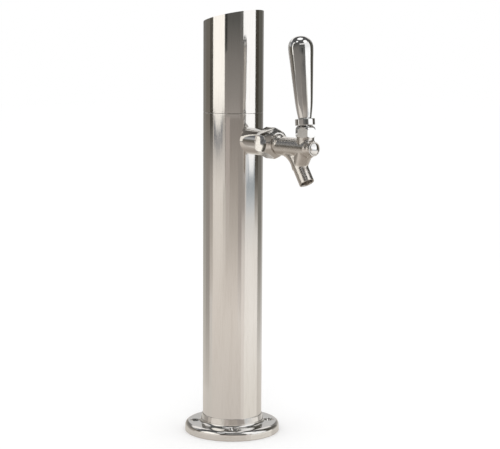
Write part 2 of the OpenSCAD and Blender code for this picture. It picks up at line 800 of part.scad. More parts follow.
module front_plug() {
    head_r = plug_head_d / 2;
    tip = boss_front + plug_dome;
    dome_r = (head_r * head_r + plug_dome * plug_dome) / (2 * plug_dome);
    spread = asin(head_r / dome_r);
    color("silver") at_faucet() translate([0, 0, -barrel_drop]) rotate([90, 0, 0])
        rotate_extrude() polygon(concat(
            [[0, plug_rear], [plug_d / 2, plug_rear], [plug_d / 2, plug_seat + seat_gap],
                [head_r, plug_seat + seat_gap]],
            [for (i = [0 : 7]) let (a = spread * (1 - i / 8))
                [dome_r * sin(a), tip - dome_r * (1 - cos(a))]],
            [[0, tip]]));
}

// a ring of the ball's seat between two heights above the pivot
module ball_ring(r, hole_r, from, to) {
    difference() {
        upright_rod(r, from, to);
        upright_rod(hole_r, from - overrun, to + overrun);
        sphere(r = ball_seat_r);
    }
}

module ball_cup() {
    swing = lever_swing - lever_lean;
    hole_r = cup_foot * tan(swing) + finger_d / 2 / cos(swing) + fit_gap;
    color("ivory") at_pivot()
        ball_ring(cup_d / 2 - seat_gap, hole_r, seat_gap - cup_foot, -cup_top);
}

module ball_washer() {
    hole_r = sqrt(pow(ball_seat_r, 2) - pow(washer_top, 2));
    color("ivory") at_pivot()
        ball_ring(cup_d / 2 - seat_gap, hole_r, washer_foot, washer_top);
}

module bonnet() {
    r = bonnet_corners / 2;
    face_r = bonnet_face_d / 2;
    mouth_r = sqrt(pow(ball_seat_r, 2) - pow(washer_top, 2)) + fit_gap;
    lip_r = mouth_r + (bonnet_top - washer_top) * tan(lever_swing);
    color("silver") at_pivot() difference() {
        intersection() {
            translate([0, 0, -bonnet_foot])
                cylinder(h = bonnet_top + bonnet_foot, r = r, $fn = 6);
            rotate_extrude() polygon([
                [0, -bonnet_foot], [r - bonnet_chamfer, -bonnet_foot],
                [r + seat_gap, bonnet_chamfer - bonnet_foot],
                [r + seat_gap, bonnet_corner_top], [face_r, bonnet_top], [0, bonnet_top]]);
        }
        upright_rod(spigot_d / 2 + thread_gap, -bonnet_foot - overrun, washer_top);
        translate([0, 0, washer_top - seat_gap])
            cylinder(h = bonnet_top - washer_top + 2 * seat_gap, r1 = mouth_r, r2 = lip_r);
    }
}

module lever() {
    color("silver") at_lever() union() {
        sphere(r = ball_r);
        upright_rod(stem_d / 2, 0, stud_foot + overrun / 2);
        upright_rod(stud_d / 2, stud_foot, stud_top);
        translate([0, 0, -arm]) {
            sphere(r = tip_d / 2);
            cylinder(h = arm, d1 = waist_d, d2 = finger_d);
        }
    }
}

module ferrule() {
    r = ferrule_d / 2;
    e = ferrule_edge;
    web_z = ferrule_top - ferrule_web;
    color("silver") at_lever() rotate_extrude() polygon(concat(
        [[r - ferrule_wall, web_z], [r - ferrule_wall, ferrule_foot]],
        [[r - ferrule_wall * half_share, ferrule_foot], [r, ferrule_foot + e * half_share]],
        arc([r - e, ferrule_top - e], e, 0, 90, 6),
        [[stud_d / 2 + thread_gap, ferrule_top], [stud_d / 2 + thread_gap, web_z]]));
}

module handle() {
    foot_r = handle_foot_d / 2;
    waist_r = handle_waist_d / 2;
    max_r = handle_max_d / 2;
    max_z = handle_top - handle_dome_h;
    bore_top = handle_foot + insert_l + fit_gap;
    // the top is a flattened dome above the widest place
    dome = [for (a = [0 : 7.5 : 90])
        [max_r * pow(cos(a), handle_fullness), max_z + handle_dome_h * sin(a)]];
    color("silver") at_lever() difference() {
        rotate_extrude() polygon(concat(
            [[0, handle_foot], [foot_r + fit_gap, handle_foot],
                [foot_r, handle_foot + 4 * fit_gap],
                [waist_r, handle_foot + handle_waist_h]],
            [for (p = dome) [max(p[0], 0), p[1]]]));
        upright_rod(insert_d / 2 + seat_gap, handle_foot - overrun, bore_top);
    }
}

module handle_insert() {
    color("darkgoldenrod") at_lever()
        upright_ring(insert_d / 2, stud_d / 2 + thread_gap, handle_foot + seat_gap,
            handle_foot + insert_l);
}

base_flange();
base_gasket();
column_tube();
cap_shell();
cap_sleeve();
cap_rings();
saddle_collar();
backing_saddle();
shank();
lock_nut();
elbow_washer();
elbow();
elbow_nut();
beer_line();
hose_clamps();
line_joiner();
foam_sleeve();
coupling_washer();
coupling_nut();
snap_ring();
faucet_body();
seat_washer();
shaft_nut();
shaft();
front_plug();
ball_cup();
ball_washer();
bonnet();
lever();
ferrule();
handle();
handle_insert();
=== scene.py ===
import math

import bpy
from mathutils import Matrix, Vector


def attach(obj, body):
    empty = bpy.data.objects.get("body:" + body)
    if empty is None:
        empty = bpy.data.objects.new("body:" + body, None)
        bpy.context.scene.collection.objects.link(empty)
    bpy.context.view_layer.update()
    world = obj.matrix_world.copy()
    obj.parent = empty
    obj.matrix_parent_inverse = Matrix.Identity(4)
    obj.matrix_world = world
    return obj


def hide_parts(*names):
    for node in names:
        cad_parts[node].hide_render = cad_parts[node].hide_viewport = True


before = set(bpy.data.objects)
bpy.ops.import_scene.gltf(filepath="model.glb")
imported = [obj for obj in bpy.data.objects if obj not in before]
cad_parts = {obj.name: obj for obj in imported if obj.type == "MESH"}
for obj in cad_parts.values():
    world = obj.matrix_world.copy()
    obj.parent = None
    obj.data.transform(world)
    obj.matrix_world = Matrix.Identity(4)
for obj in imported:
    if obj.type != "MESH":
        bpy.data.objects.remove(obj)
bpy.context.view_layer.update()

# lengths in the dictionaries are in mm unless a line says otherwise;
# past is how far a cutting tool runs on beyond a face, weld is in metres
mm = 0.001
past = 3
weld = 0.000002
scene = bpy.context.scene


def say(text):
    print("tower scene:", text)


# camera, first of all: its place is in metres
cameraValues = {"place": (-1.1585, -1.4656, 0.518), "turn": (82.41, -0.318, -38.958), "lens": 105.84,
                "sensor": 36, "farEnd": 50}

bpy.ops.object.camera_add(location=cameraValues["place"],
                          rotation=[math.radians(a) for a in cameraValues["turn"]])
camera = bpy.context.object
camera.data.lens = cameraValues["lens"]
camera.data.sensor_width = cameraValues["sensor"]
camera.data.clip_end = cameraValues["farEnd"]
scene.camera = camera
say("camera placed")


# modelling helpers
def deselectAll():
    if bpy.context.object and bpy.context.object.mode != "OBJECT":
        bpy.ops.object.mode_set(mode="OBJECT")
    bpy.ops.object.select_all(action="DESELECT")


def selectOnly(piece):
    deselectAll()
    piece.select_set(True)
    bpy.context.view_layer.objects.active = piece


def applyPlace():
    bpy.ops.object.transform_apply(location=True, rotation=True, scale=True)


def editAll():
    bpy.ops.object.mode_set(mode="EDIT")
    bpy.ops.mesh.select_all(action="SELECT")


# doubled points are joined and normals turned outwards
def closeMesh():
    bpy.ops.mesh.select_all(action="SELECT")
    bpy.ops.mesh.remove_doubles(threshold=weld)
    bpy.ops.mesh.normals_make_consistent(inside=False)
    bpy.ops.object.mode_set(mode="OBJECT")


def applyModifier(piece, kind, **settings):
    selectOnly(piece)
    modifier = piece.modifiers.new(kind.lower(), kind)
    for key, value in settings.items():
        setattr(modifier, key, value)
    bpy.ops.object.modifier_apply(modifier=modifier.name)
    return piece


# corners are (radius, height, rounding): a rounding becomes an arc with a holding point at both
# ends, which stands a little away from it
holdAway = 0.35


def roundCorners(corners, parts=5):
    points = []
    for i, (r, z, rounding) in enumerate(corners):
        p = Vector((r, z))
        if rounding == 0:
            points.append((r, z))
            continue
        u = Vector(corners[i - 1][:2]) - p
        v = Vector(corners[(i + 1) % len(corners)][:2]) - p
        half = u.angle(v) / 2
        cut = rounding / math.tan(half)
        hold = cut + holdAway
        centre = p + (u.normalized() + v.normalized()).normalized() * (rounding / math.sin(half))
        start = p + u.normalized() * cut - centre
        end = p + v.normalized() * cut - centre
        sweep = math.atan2(start.x * end.y - start.y * end.x, start.dot(end))
        first = math.atan2(start.y, start.x)
        if hold < u.length / 2:
            points.append(tuple(p + u.normalized() * hold))
        for k in range(parts + 1):
            a = first + sweep * k / parts
            points.append((centre.x + rounding * math.cos(a), centre.y + rounding * math.sin(a)))
        if hold < v.length / 2:
            points.append(tuple(p + v.normalized() * hold))
    return points


# a smooth line through a few (radius, height) points
def softLine(points, parts):
    line = []
    ends = [points[0]] + list(points) + [points[-1]]
    for p0, p1, p2, p3 in zip(ends, ends[1:], ends[2:], ends[3:]):
        for k in range(parts):
            t = k / parts
            line.append(tuple(0.5 * (2 * b + (c - a) * t + (2 * a - 5 * b + 4 * c - d) * t * t
                                     + (3 * b - a - 3 * c + d) * t ** 3)
                              for a, b, c, d in zip(p0, p1, p2, p3)))
    return line + [points[-1]]


# points on a ball whose middle is at a height, between two angles from its top
def ballLine(ball, middle, first, last, parts=8):
    turns = [first + (last - first) * k / parts for k in range(parts + 1)]
    return [(ball * math.sin(a), middle + ball * math.cos(a)) for a in turns]


# the outline of a plain round bar
def barLine(r, low, high):
    return [(0, low), (r, low), (r, high), (0, high)]


# a mesh of one point, left in edit mode; its place is in metres
def onePoint(name, place):
    deselectAll()
    bpy.ops.mesh.primitive_plane_add(size=mm)
    piece = bpy.context.object
    piece.name = piece.data.name = name
    editAll()
    bpy.ops.mesh.merge(type="CENTER")
    bpy.ops.transform.translate(value=place)
    return piece


# a lathe: an outline of (radius, height) points is drawn with extrudes and spun round Z; a ring's
# outline is closed with one edge, not a face, which would leave a wall inside at every step
def turned(name, outline, steps=96):
    piece = onePoint(name, (outline[0][0] * mm, 0, outline[0][1] * mm))
    for a, b in zip(outline, outline[1:]):
        bpy.ops.mesh.extrude_region_move(
            TRANSFORM_OT_translate={"value": ((b[0] - a[0]) * mm, 0, (b[1] - a[1]) * mm)})
    if outline[0][0] > 0 and outline[-1][0] > 0:
        bpy.ops.object.mode_set(mode="OBJECT")
        last = len(piece.data.vertices) - 1
        for v in piece.data.vertices:
            v.select = v.index in (0, last)
        bpy.ops.object.mode_set(mode="EDIT")
        bpy.ops.mesh.edge_face_add()
    bpy.ops.mesh.select_all(action="SELECT")
    bpy.ops.mesh.spin(steps=steps, angle=2 * math.pi, center=(0, 0, 0), axis=(0, 0, 1))
    closeMesh()
    return piece


# the piece is moved and turned, and its place goes into its mesh
def settle(piece, place=(0, 0, 0), turn=(0, 0, 0)):
    selectOnly(piece)
    piece.location = [v * mm for v in place]
    piece.rotation_euler = [math.radians(a) for a in turn]
    applyPlace()
    return piece


def combine(piece, tool, way="DIFFERENCE"):
    applyModifier(piece, "BOOLEAN", operation=way, solver="EXACT", object=tool)
    bpy.data.objects.remove(tool)
    return piece


# edges sharper than an angle get a small round
def softenEdges(piece, width, sharp, parts=3):
    selectOnly(piece)
    bpy.ops.object.mode_set(mode="EDIT")
    bpy.ops.mesh.select_mode(type="EDGE")
    bpy.ops.mesh.select_all(action="DESELECT")
    bpy.ops.mesh.edges_select_sharp(sharpness=math.radians(sharp))
    bpy.ops.mesh.bevel(offset=width * mm, segments=parts, affect="EDGES", clamp_overlap=True)
    bpy.ops.mesh.select_mode(type="VERT")
    bpy.ops.object.mode_set(mode="OBJECT")
    return piece


# flat faces keep their own normals beside the rounds
def polishNormals(piece, angle=35):
    selectOnly(piece)
    bpy.ops.object.shade_smooth_by_angle(angle=math.radians(angle))
    return applyModifier(piece, "WEIGHTED_NORMAL", keep_sharp=True)


def finishPiece(piece, material, slot, body, *nodes):
    piece.data.materials.clear()
    piece.data.materials.append(material)
    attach(piece, body)
    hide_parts(*nodes)
    return piece


# shader groups and finishes
def setInputs(tree, node, values):
    for key, value in values.items():
        if isinstance(value, bpy.types.NodeSocket):
            tree.links.new(value, node.inputs[key])
        else:
            node.inputs[key].default_value = value
    return node


def addNode(tree, kind, values, **settings):
    node = tree.nodes.new("ShaderNode" + kind)
    for key, value in settings.items():
        setattr(node, key, value)
    return setInputs(tree, node, values)


def addMath(tree, operation, *values):
    return addNode(tree, "Math", dict(enumerate(values)), operation=operation).outputs[0]


def addNoise(tree, where, size, detail, **more):
    noise = addNode(tree, "TexNoise", {"Vector": where, "Scale": size, "Detail": detail, **more})
    return noise.outputs["Fac"]


def addBump(tree, deep, height, **more):
    bump = addNode(tree, "Bump", {"Strength": 1.0, "Distance": deep * mm, "Height": height, **more})
    return bump.outputs[0]


def mixColours(tree, factor, first, second):
    mix = addNode(tree, "Mix", {"Factor": factor, "A": (*first, 1), "B": (*second, 1)}, data_type="RGBA")
    return mix.outputs["Result"]


# a tree with nothing in it but its output
def emptyTree(owner, kind):
    owner.use_nodes = True
    tree = owner.node_tree
    tree.nodes.clear()
    return tree, tree.nodes.new("ShaderNodeOutput" + kind)


def newGroup(name, inputs, outputs):
    group = bpy.data.node_groups.new(name, "ShaderNodeTree")
    for label, kind, value in inputs:
        socket = group.interface.new_socket(name=label, in_out="INPUT", socket_type="NodeSocket" + kind)
        if value is not None:
            socket.default_value = value
    for label in outputs:
        group.interface.new_socket(name=label, in_out="OUTPUT", socket_type="NodeSocketFloat")
    given, out = group.nodes.new("NodeGroupInput"), group.nodes.new("NodeGroupOutput")
    return group, given.outputs, out


# fine lines left by the polishing belt: Stretch sets how far they run along each axis
def makePolishLines():
    group, given, out = newGroup(
        "polishLines", [("Vector", "Vector", None), ("Stretch", "Vector", (30, 30, 6000))], ["Height"])
    place = addNode(group, "VectorMath", {0: given["Vector"], 1: given["Stretch"]}, operation="MULTIPLY")
    lines = addNoise(group, place.outputs[0], 1.0, 3.0, Roughness=0.65)
    setInputs(group, out, {"Height": lines})
    return group


# cloudy hand and cloth marks that dull a polish a little
def makeHandMarks():
    group, given, out = newGroup(
        "handMarks", [("Vector", "Vector", None), ("Size", "Float", 30.0), ("Along", "Vector", (1, 1, 1))],
        ["Mask"])
    place = addNode(group, "VectorMath", {0: given["Vector"], 1: given["Along"]}, operation="MULTIPLY")
    cloud = addNoise(group, place.outputs[0], given["Size"], 4.0, Roughness=0.6, Distortion=0.3)
    fineSize = addMath(group, "MULTIPLY", given["Size"], 7.0)
    both = addMath(group, "MULTIPLY", cloud, addNoise(group, place.outputs[0], fineSize, 2.0))
    mask = addNode(group, "MapRange", {"Value": both, "From Min": 0.18, "From Max": 0.42},
                   interpolation_type="SMOOTHSTEP")
    setInputs(group, out, {"Mask": mask.outputs["Result"]})
    return group


# short hair scratches of handling, in two directions
def makeHairScratches():
    group, given, out = newGroup(
        "hairScratches", [("Vector", "Vector", None), ("Size", "Float", 900.0)], ["Mask"])
    masks = []
    for turn in ((0.5, 0.3, 0.9), (-0.7, 0.9, -0.4)):
        place = addNode(group, "Mapping", {"Vector": given["Vector"], "Rotation": turn,
                                           "Scale": (1.0, 0.03, 1.0)})
        cells = addNode(group, "TexVoronoi", {"Vector": place.outputs[0], "Scale": given["Size"]},
                        feature="DISTANCE_TO_EDGE")
        thin = addNode(group, "MapRange", {"Value": cells.outputs["Distance"], "From Min": 0.0,
                                           "From Max": 0.06, "To Min": 1.0, "To Max": 0.0})
        masks.append(thin.outputs["Result"])
    setInputs(group, out, {"Mask": addMath(group, "MAXIMUM", *masks)})
    return group


# pits, pores and grain of rubber, foam and moulded plastic
def makeGrain():
    group, given, out = newGroup(
        "moulding", [("Vector", "Vector", None), ("Size", "Float", 900.0)], ["Height", "Shade"])
    pits = addNoise(group, given["Vector"], given["Size"], 3.0)
    slowSize = addMath(group, "MULTIPLY", given["Size"], 0.08)
    cloud = addNoise(group, given["Vector"], slowSize, 2.0)
    setInputs(group, out, {"Height": pits, "Shade": cloud})
    return group


groups = {"lines": makePolishLines(), "marks": makeHandMarks(),
          "scratches": makeHairScratches(), "grain": makeGrain()}


def placeGroup(tree, key, values):
    return addNode(tree, "Group", values, node_tree=groups[key]).outputs


def freshMaterial(name):
    material = bpy.data.materials.new(name)
    tree, out = emptyTree(material, "Material")
    shader = addNode(tree, "BsdfPrincipled", {})
    setInputs(tree, out, {"Surface": shader.outputs[0]})
    where = addNode(tree, "TexCoord", {}).outputs["Object"]
    return material, tree, shader, where


# polished and plated metals: one look with its own values for each finish; wave is the swell of
# a casting, where there is one
scratchSize = 420.0
metalFinishes = {
    "polishedSteel": {"colour": (0.80, 0.785, 0.765), "dull": (0.765, 0.745, 0.72), "rough": 0.075,
                      "marks": 0.02, "lines": 0.00018, "stretch": (35, 35, 5200), "markSize": 150,
                      "along": (1, 1, 0.05), "scratch": 0.04},
    "baseSteel": {"colour": (0.80, 0.79, 0.775), "dull": (0.76, 0.745, 0.72), "rough": 0.07,
                  "marks": 0.05, "lines": 0.0003, "stretch": (60, 60, 2600), "markSize": 60,
                  "along": (1, 1, 1), "scratch": 0.06},
    "castChrome": {"colour": (0.71, 0.68, 0.645), "dull": (0.65, 0.62, 0.58), "rough": 0.21,
                   "marks": 0.07, "lines": 0.0001, "stretch": (900, 500, 900), "markSize": 80,
                   "along": (1, 0.4, 1), "wave": 0.04, "waveSize": 160, "scratch": 0.03},
    "faucetChrome": {"colour": (0.76, 0.745, 0.72), "dull": (0.70, 0.68, 0.65), "rough": 0.09,
                     "marks": 0.07, "lines": 0.0004, "stretch": (900, 500, 900), "markSize": 80,
                     "along": (1, 0.4, 1), "wave": 0.10, "waveSize": 160, "scratch": 0.05},
    "handleChrome": {"colour": (0.83, 0.83, 0.825), "dull": (0.78, 0.775, 0.77), "rough": 0.035,
                     "marks": 0.04, "lines": 0.0002, "stretch": (60, 60, 3000), "markSize": 70,
                     "along": (1, 1, 0.3), "scratch": 0.04},
    "plainSteel": {"colour": (0.56, 0.555, 0.545), "dull": (0.45, 0.44, 0.43), "rough": 0.26,
                   "marks": 0.1, "lines": 0.001, "stretch": (90, 90, 2600), "markSize": 60,
                   "along": (1, 1, 0.4), "scratch": 0.1},
    # steel of the cap sleeve seen through the seam, made paler and rougher than plain steel: a painted
    # highlight so that the seam between column and cap reads as a pale line
    "seamHighlightSteel": {"colour": (0.90, 0.885, 0.86), "dull": (0.84, 0.825, 0.80), "rough": 0.42,
                  "marks": 0.1, "lines": 0.001, "stretch": (90, 90, 2600), "markSize": 60,
                  "along": (1, 1, 0.4), "scratch": 0.1},
    "brass": {"colour": (0.72, 0.52, 0.25), "dull": (0.55, 0.38, 0.18), "rough": 0.24,
              "marks": 0.12, "lines": 0.001, "stretch": (900, 90, 900), "markSize": 110,
              "along": (1, 1, 1), "scratch": 0.1},
}


def makeMetal(name):
    v = metalFinishes[name]
    material, tree, shader, where = freshMaterial(name)
    marks = placeGroup(tree, "marks", {"Vector": where, "Size": v["markSize"], "Along": v["along"]})
    lines = placeGroup(tree, "lines", {"Vector": where, "Stretch": v["stretch"]})
    scratches = placeGroup(tree, "scratches", {"Vector": where, "Size": scratchSize})
    rough = addMath(tree, "MULTIPLY_ADD", marks["Mask"], v["marks"], v["rough"])
    rough = addMath(tree, "MULTIPLY_ADD", scratches["Mask"], v["scratch"], rough)
    bump = addBump(tree, v["lines"], lines["Height"])
    if "wave" in v:
        wave = addNoise(tree, where, v["waveSize"], 1.0)
        bump = addBump(tree, v["wave"], wave, Normal=bump)
    setInputs(tree, shader, {
        "Base Color": mixColours(tree, marks["Mask"], v["colour"], v["dull"]),
        "Roughness": rough, "Metallic": 1.0, "Normal": bump})
    return material


softFinishes = {
    "blackRubber": {"colour": (0.018, 0.018, 0.019), "pale": (0.04, 0.04, 0.042), "rough": 0.62,
                    "size": 1400, "deep": 0.04, "through": 0},
    "foam": {"colour": (0.16, 0.16, 0.165), "pale": (0.28, 0.28, 0.285), "rough": 0.9,
             "size": 700, "deep": 0.25, "through": 0},
    "whitePlastic": {"colour": (0.80, 0.79, 0.76), "pale": (0.86, 0.855, 0.83), "rough": 0.38,
                     "size": 900, "deep": 0.015, "through": 0},
    "clearLine": {"colour": (0.80, 0.78, 0.68), "pale": (0.88, 0.87, 0.80), "rough": 0.22,
                  "size": 300, "deep": 0.01, "through": 0.5},
}
softValues = {"roughSpread": 0.12, "ior": 1.45}


def makeSoft(name):
    v = softFinishes[name]
    material, tree, shader, where = freshMaterial(name)
    grain = placeGroup(tree, "grain", {"Vector": where, "Size": v["size"]})
    setInputs(tree, shader, {
        "Base Color": mixColours(tree, grain["Shade"], v["colour"], v["pale"]),
        "Roughness": addMath(tree, "MULTIPLY_ADD", grain["Shade"], softValues["roughSpread"], v["rough"]),
        "Normal": addBump(tree, v["deep"], grain["Height"])})
    if v["through"]:
        setInputs(tree, shader, {"Transmission Weight": v["through"], "IOR": softValues["ior"]})
    return material


finishes = {name: makeMetal(name) for name in metalFinishes}
finishes.update({name: makeSoft(name) for name in softFinishes})
say("finishes made")


# base: the countersinks end in a small lip, given as (wider, higher) than their edge at the top
baseValues = {"diameter": 122, "footEdge": 0.6, "plate": 12.2, "edge": 5.6, "hub": 80.2, "hubTop": 22.5,
              "hubEdge": 0.35, "bevelFoot": 16.1, "bevelIn": 1.3, "bevelRound": 0.9, "fillet": 3.2,
              "ledge": 5, "passage": 66, "passageEdge": 0.4, "gasketR": 43, "gasketT": 1.6,
              "socketR": 38.15, "socketEdge": 0.2, "holeCircle": 96, "holeTurns": (-36, 54, 144, 234),
              "hole": 6.2, "sink": 12.4, "recess": 0.9, "lip": ((0, -0.25), (0.45, 0.2), (0.45, past))}


def makeBase(v):
    r, hub, passage = v["diameter"] / 2, v["hub"] / 2, v["passage"] / 2
    base = turned("baseFlange", roundCorners([
        (passage, v["gasketT"], 0), (v["gasketR"], v["gasketT"], 0), (v["gasketR"], 0, 0),
        (r, 0, v["footEdge"]), (r, v["plate"], v["edge"]), (hub, v["plate"], v["fillet"]),
        (hub, v["bevelFoot"], v["bevelRound"]), (hub - v["bevelIn"], v["hubTop"], v["hubEdge"]),
        (v["socketR"], v["hubTop"], v["socketEdge"]), (v["socketR"], v["ledge"], 0),
        (passage, v["ledge"], v["passageEdge"])], parts=7), steps=160)
    hole, sink, top = v["hole"] / 2, v["sink"] / 2, v["plate"]
    sinkTop = top - v["recess"]
    sinkFoot = sinkTop - (v["sink"] - v["hole"]) / 2
    for turn in v["holeTurns"]:
        drill = turned("drill", [(0, -past), (hole, -past), (hole, sinkFoot), (sink, sinkTop)]
                       + [(sink + wide, top + up) for wide, up in v["lip"]] + [(0, top + past)], steps=48)
        a = math.radians(turn)
        settle(drill, (v["holeCircle"] / 2 * math.cos(a), v["holeCircle"] / 2 * math.sin(a), 0))
        combine(base, drill)
    polishNormals(base)
    return finishPiece(base, finishes["baseSteel"], "polished_steel", "tower", "base_flange")


makeBase(baseValues)
say("base made")


# column and cap
columnValues = {"r": 38.1, "wall": 1.5, "foot": 5, "seam": 413, "edge": 0.6, "holeR": 11.7,
                "shankZ": 378.5, "holeRow": 12, "drillFrom": 10, "drillTo": 50}
capValues = {"foot": 413.3, "rearTop": 524.8, "slope": 12.2, "turn": 16, "plate": 1.6, "edge": 0.3,
             "barTop": 560, "holdDrop": 0.8, "sharp": 50}


def makeColumn(v):
    r, bore = v["r"], v["r"] - v["wall"]
    rows = (v["shankZ"] - v["holeRow"], v["shankZ"] + v["holeRow"])
    tube = turned("columnTube", roundCorners([
        (bore, v["foot"], 0), (r, v["foot"], 0), (r, rows[0], 0), (r, rows[1], 0),
        (r, v["seam"], v["edge"]), (bore, v["seam"], 0), (bore, rows[1], 0), (bore, rows[0], 0)]),
        steps=180)
    drill = turned("drill", barLine(v["holeR"], v["drillFrom"], v["drillTo"]), steps=64)
    combine(tube, settle(drill, (0, 0, v["shankZ"]), (90, 0, 0)))
    polishNormals(tube)
    return finishPiece(tube, finishes["polishedSteel"], "polished_steel", "tower", "column_tube")


# a round bar cut off by the sloping plane of the cap's top, with a row of points under the cut
def slopedBar(name, r, foot, drop, v):
    bar = turned(name, barLine(r, foot, v["barTop"]), steps=180)
    selectOnly(bar)
    slope, turn = math.radians(v["slope"]), math.radians(v["turn"])
    back = (-math.sin(turn), math.cos(turn))
    normal = (math.sin(slope) * back[0], math.sin(slope) * back[1], math.cos(slope))
    bpy.ops.object.mode_set(mode="EDIT")
    for low, cut in ((drop, True), (drop + v["holdDrop"], False)):
        place = (columnValues["r"] * back[0] * mm, columnValues["r"] * back[1] * mm,
                 (v["rearTop"] - low / math.cos(slope)) * mm)
        bpy.ops.mesh.select_all(action="SELECT")
        bpy.ops.mesh.bisect(plane_co=place, plane_no=normal, use_fill=cut, clear_outer=cut)
    bpy.ops.object.mode_set(mode="OBJECT")
    return bar


def makeCap(v):
    r = columnValues["r"]
    cap = slopedBar("capShell", r, v["foot"], 0, v)
    combine(cap, slopedBar("capHollow", r - columnValues["wall"], v["foot"] - past, v["plate"], v))
    softenEdges(cap, v["edge"], v["sharp"])
    polishNormals(cap)
    return finishPiece(cap, finishes["polishedSteel"], "polished_steel", "cap", "cap_shell")


makeColumn(columnValues)
makeCap(capValues)
say("column and cap made")


# saddle collar and coupling nut, turned along -Y; both nuts share the last row
saddleValues = {"r": 16.6, "bore": 11.7, "rear": 30, "front": 63.7, "edge": 0.5, "boreEdge": 0.3,
                "clear": 0.03, "tubeFoot": 330, "tubeTop": 420}
couplingValues = {"cornerR": 19.5, "rear": 64.9, "front": 90, "shoulder": 82, "faceR": 13.5,
                  "chamfer": 1.8, "chamferRun": 0.8, "proud": 0.1, "headBore": 14.25, "neckBore": 12.1,
                  "step": 85.2, "edge": 0.28}
nutValues = {"overlap": 0.01, "over": 1, "sharp": 22, "smooth": 32}


def makeSaddle(v):
    saddle = turned("saddleCollar", roundCorners([
        (v["bore"], v["rear"], 0), (v["r"], v["rear"], 0), (v["r"], v["front"], v["edge"]),
        (v["bore"], v["front"], v["boreEdge"])]), steps=96)
    settle(saddle, (0, 0, columnValues["shankZ"]), (90, 0, 0))
    tube = turned("tubeSide", barLine(columnValues["r"] + v["clear"], v["tubeFoot"], v["tubeTop"]),
                  steps=180)
    combine(saddle, tube)
    polishNormals(saddle)
    return finishPiece(saddle, finishes["polishedSteel"], "polished_steel", "tower", "saddle_collar")


# a hexagonal bar along Z, cut to a turned outline: corners stay where the outline leaves them
def hexNut(name, cornerR, foot, top, outline, bore, turn, edge, steps=120):
    deselectAll()
    bpy.ops.mesh.primitive_cylinder_add(vertices=6, radius=cornerR * mm, depth=(top - foot) * mm,
                                        location=(0, 0, (top + foot) / 2 * mm),
                                        rotation=(0, 0, math.radians(turn)))
    nut = bpy.context.object
    nut.name = nut.data.name = name
    applyPlace()
    combine(nut, turned("nutOutline", outline, steps=steps), "INTERSECT")
    combine(nut, turned("nutBore", bore, steps=64))
    softenEdges(nut, edge, nutValues["sharp"])
    return polishNormals(nut, angle=nutValues["smooth"])


def makeCouplingNut(v):
    r, face, rear, front, shoulder = v["cornerR"], v["faceR"], v["rear"], v["front"], v["shoulder"]
    middle = (front ** 2 - shoulder ** 2 - (r * r - face * face)) / (2 * (front - shoulder))
    ball = math.hypot(r, shoulder - middle)
    foot, outer = rear - nutValues["overlap"], r + v["proud"]
    outline = [(0, foot), (r - v["chamfer"], foot), (outer, rear + v["chamfer"] * v["chamferRun"]),
               (outer, shoulder - v["proud"])]
    outline += ballLine(ball, middle, math.asin(r / ball), math.asin(face / ball)) + [(0, front)]
    bore = [(0, rear - past), (v["headBore"], rear - past), (v["headBore"], v["step"]),
            (v["neckBore"], v["step"]), (v["neckBore"], front + past), (0, front + past)]
    nut = hexNut("couplingNut", r, rear, front + nutValues["over"], outline, bore, turn=0,
                 edge=v["edge"])
    settle(nut, (0, 0, columnValues["shankZ"]), (90, 0, 0))
    return finishPiece(nut, finishes["faucetChrome"], "faucet_chrome", "tower", "coupling_nut")


makeSaddle(saddleValues)
makeCouplingNut(couplingValues)
say("collar and coupling nut made")


# faucet body: forward distance from its rear face and height over the shank's axis; chest and web
# are cones from a low to a high end, each (forward, up, radius), and roundTop is the shape of a
# cone's top in parts of its radius
bodyValues = {"rear": 81.6, "neckR": 11.9, "neckL": 13.2, "slopeL": 5, "drop": 2.4, "barrelR": 11.6,
              "barrelFrom": 8.7, "barrelEdge": 2.4, "noseFrom": 66.6, "barrelTo": 70.2, "noseR": 9.1,
              "bossR": 8.7, "bossTo": 74.5, "postAt": 58, "postR": 10.6, "postTop": 10.9,
              "spoutR": 9.3, "spoutBore": 7.5, "spoutPast": 6, "lean": 34, "tip": (61.4, -44.2),
              "bendR": 30, "bendAt": (13.54, -43.52), "bendSteps": 24, "spoutRun": 27.33, "past": 4,
              "chest": ((48.7, -25.4, 8.5), (58, -3.4, 11.1)), "web": ((47.5, -28, 8.7), (38, -4, 9.0)),
              "roundTop": ((1, 0), (0.86, 0.5), (0.5, 0.86), (0, 1)), "voxel": 0.45, "smooth": 34,
              "smoothBy": 0.5, "sharp": 38}


def bodyPoint(forward, up):
    return (0, -bodyValues["rear"] - forward, columnValues["shankZ"] + up)


# the same point in metres
def bodyPlace(forward, up):
    return [c * mm for c in bodyPoint(forward, up)]


def frontBar(name, outline, drop, steps=96):
    return settle(turned(name, outline, steps), bodyPoint(0, -drop), (90, 0, 0))


def joinPieces(pieces):
    selectOnly(pieces[0])
    for piece in pieces[1:]:
        piece.select_set(True)
    bpy.ops.object.join()
    return pieces[0]


# a disc swept round the bend's centre
def makeBend(v):
    forward, up = v["bendAt"]
    deselectAll()
    bpy.ops.mesh.primitive_circle_add(vertices=64, radius=v["spoutR"] * mm, fill_type="NGON",
                                      location=bodyPlace(forward, up + v["bendR"] + v["spoutR"]),
                                      rotation=(math.radians(90), 0, 0))
    bend = bpy.context.object
    applyPlace()
    editAll()
    bpy.ops.mesh.spin(steps=v["bendSteps"], angle=math.radians(v["lean"] - 90), axis=(1, 0, 0),
                      center=bodyPlace(forward, up))
    closeMesh()
    return bend


def makeCone(ends, roundTop):
    (lowAt, lowUp, lowR), (highAt, highUp, highR) = ends
    run = math.hypot(highAt - lowAt, highUp - lowUp)
    cone = turned("cone", [(0, 0), (lowR, 0)] + [(highR * a, run + highR * b) for a, b in roundTop])
    lean = math.degrees(math.atan2(highAt - lowAt, highUp - lowUp))
    return settle(cone, bodyPoint(lowAt, lowUp), (lean, 0, 0))


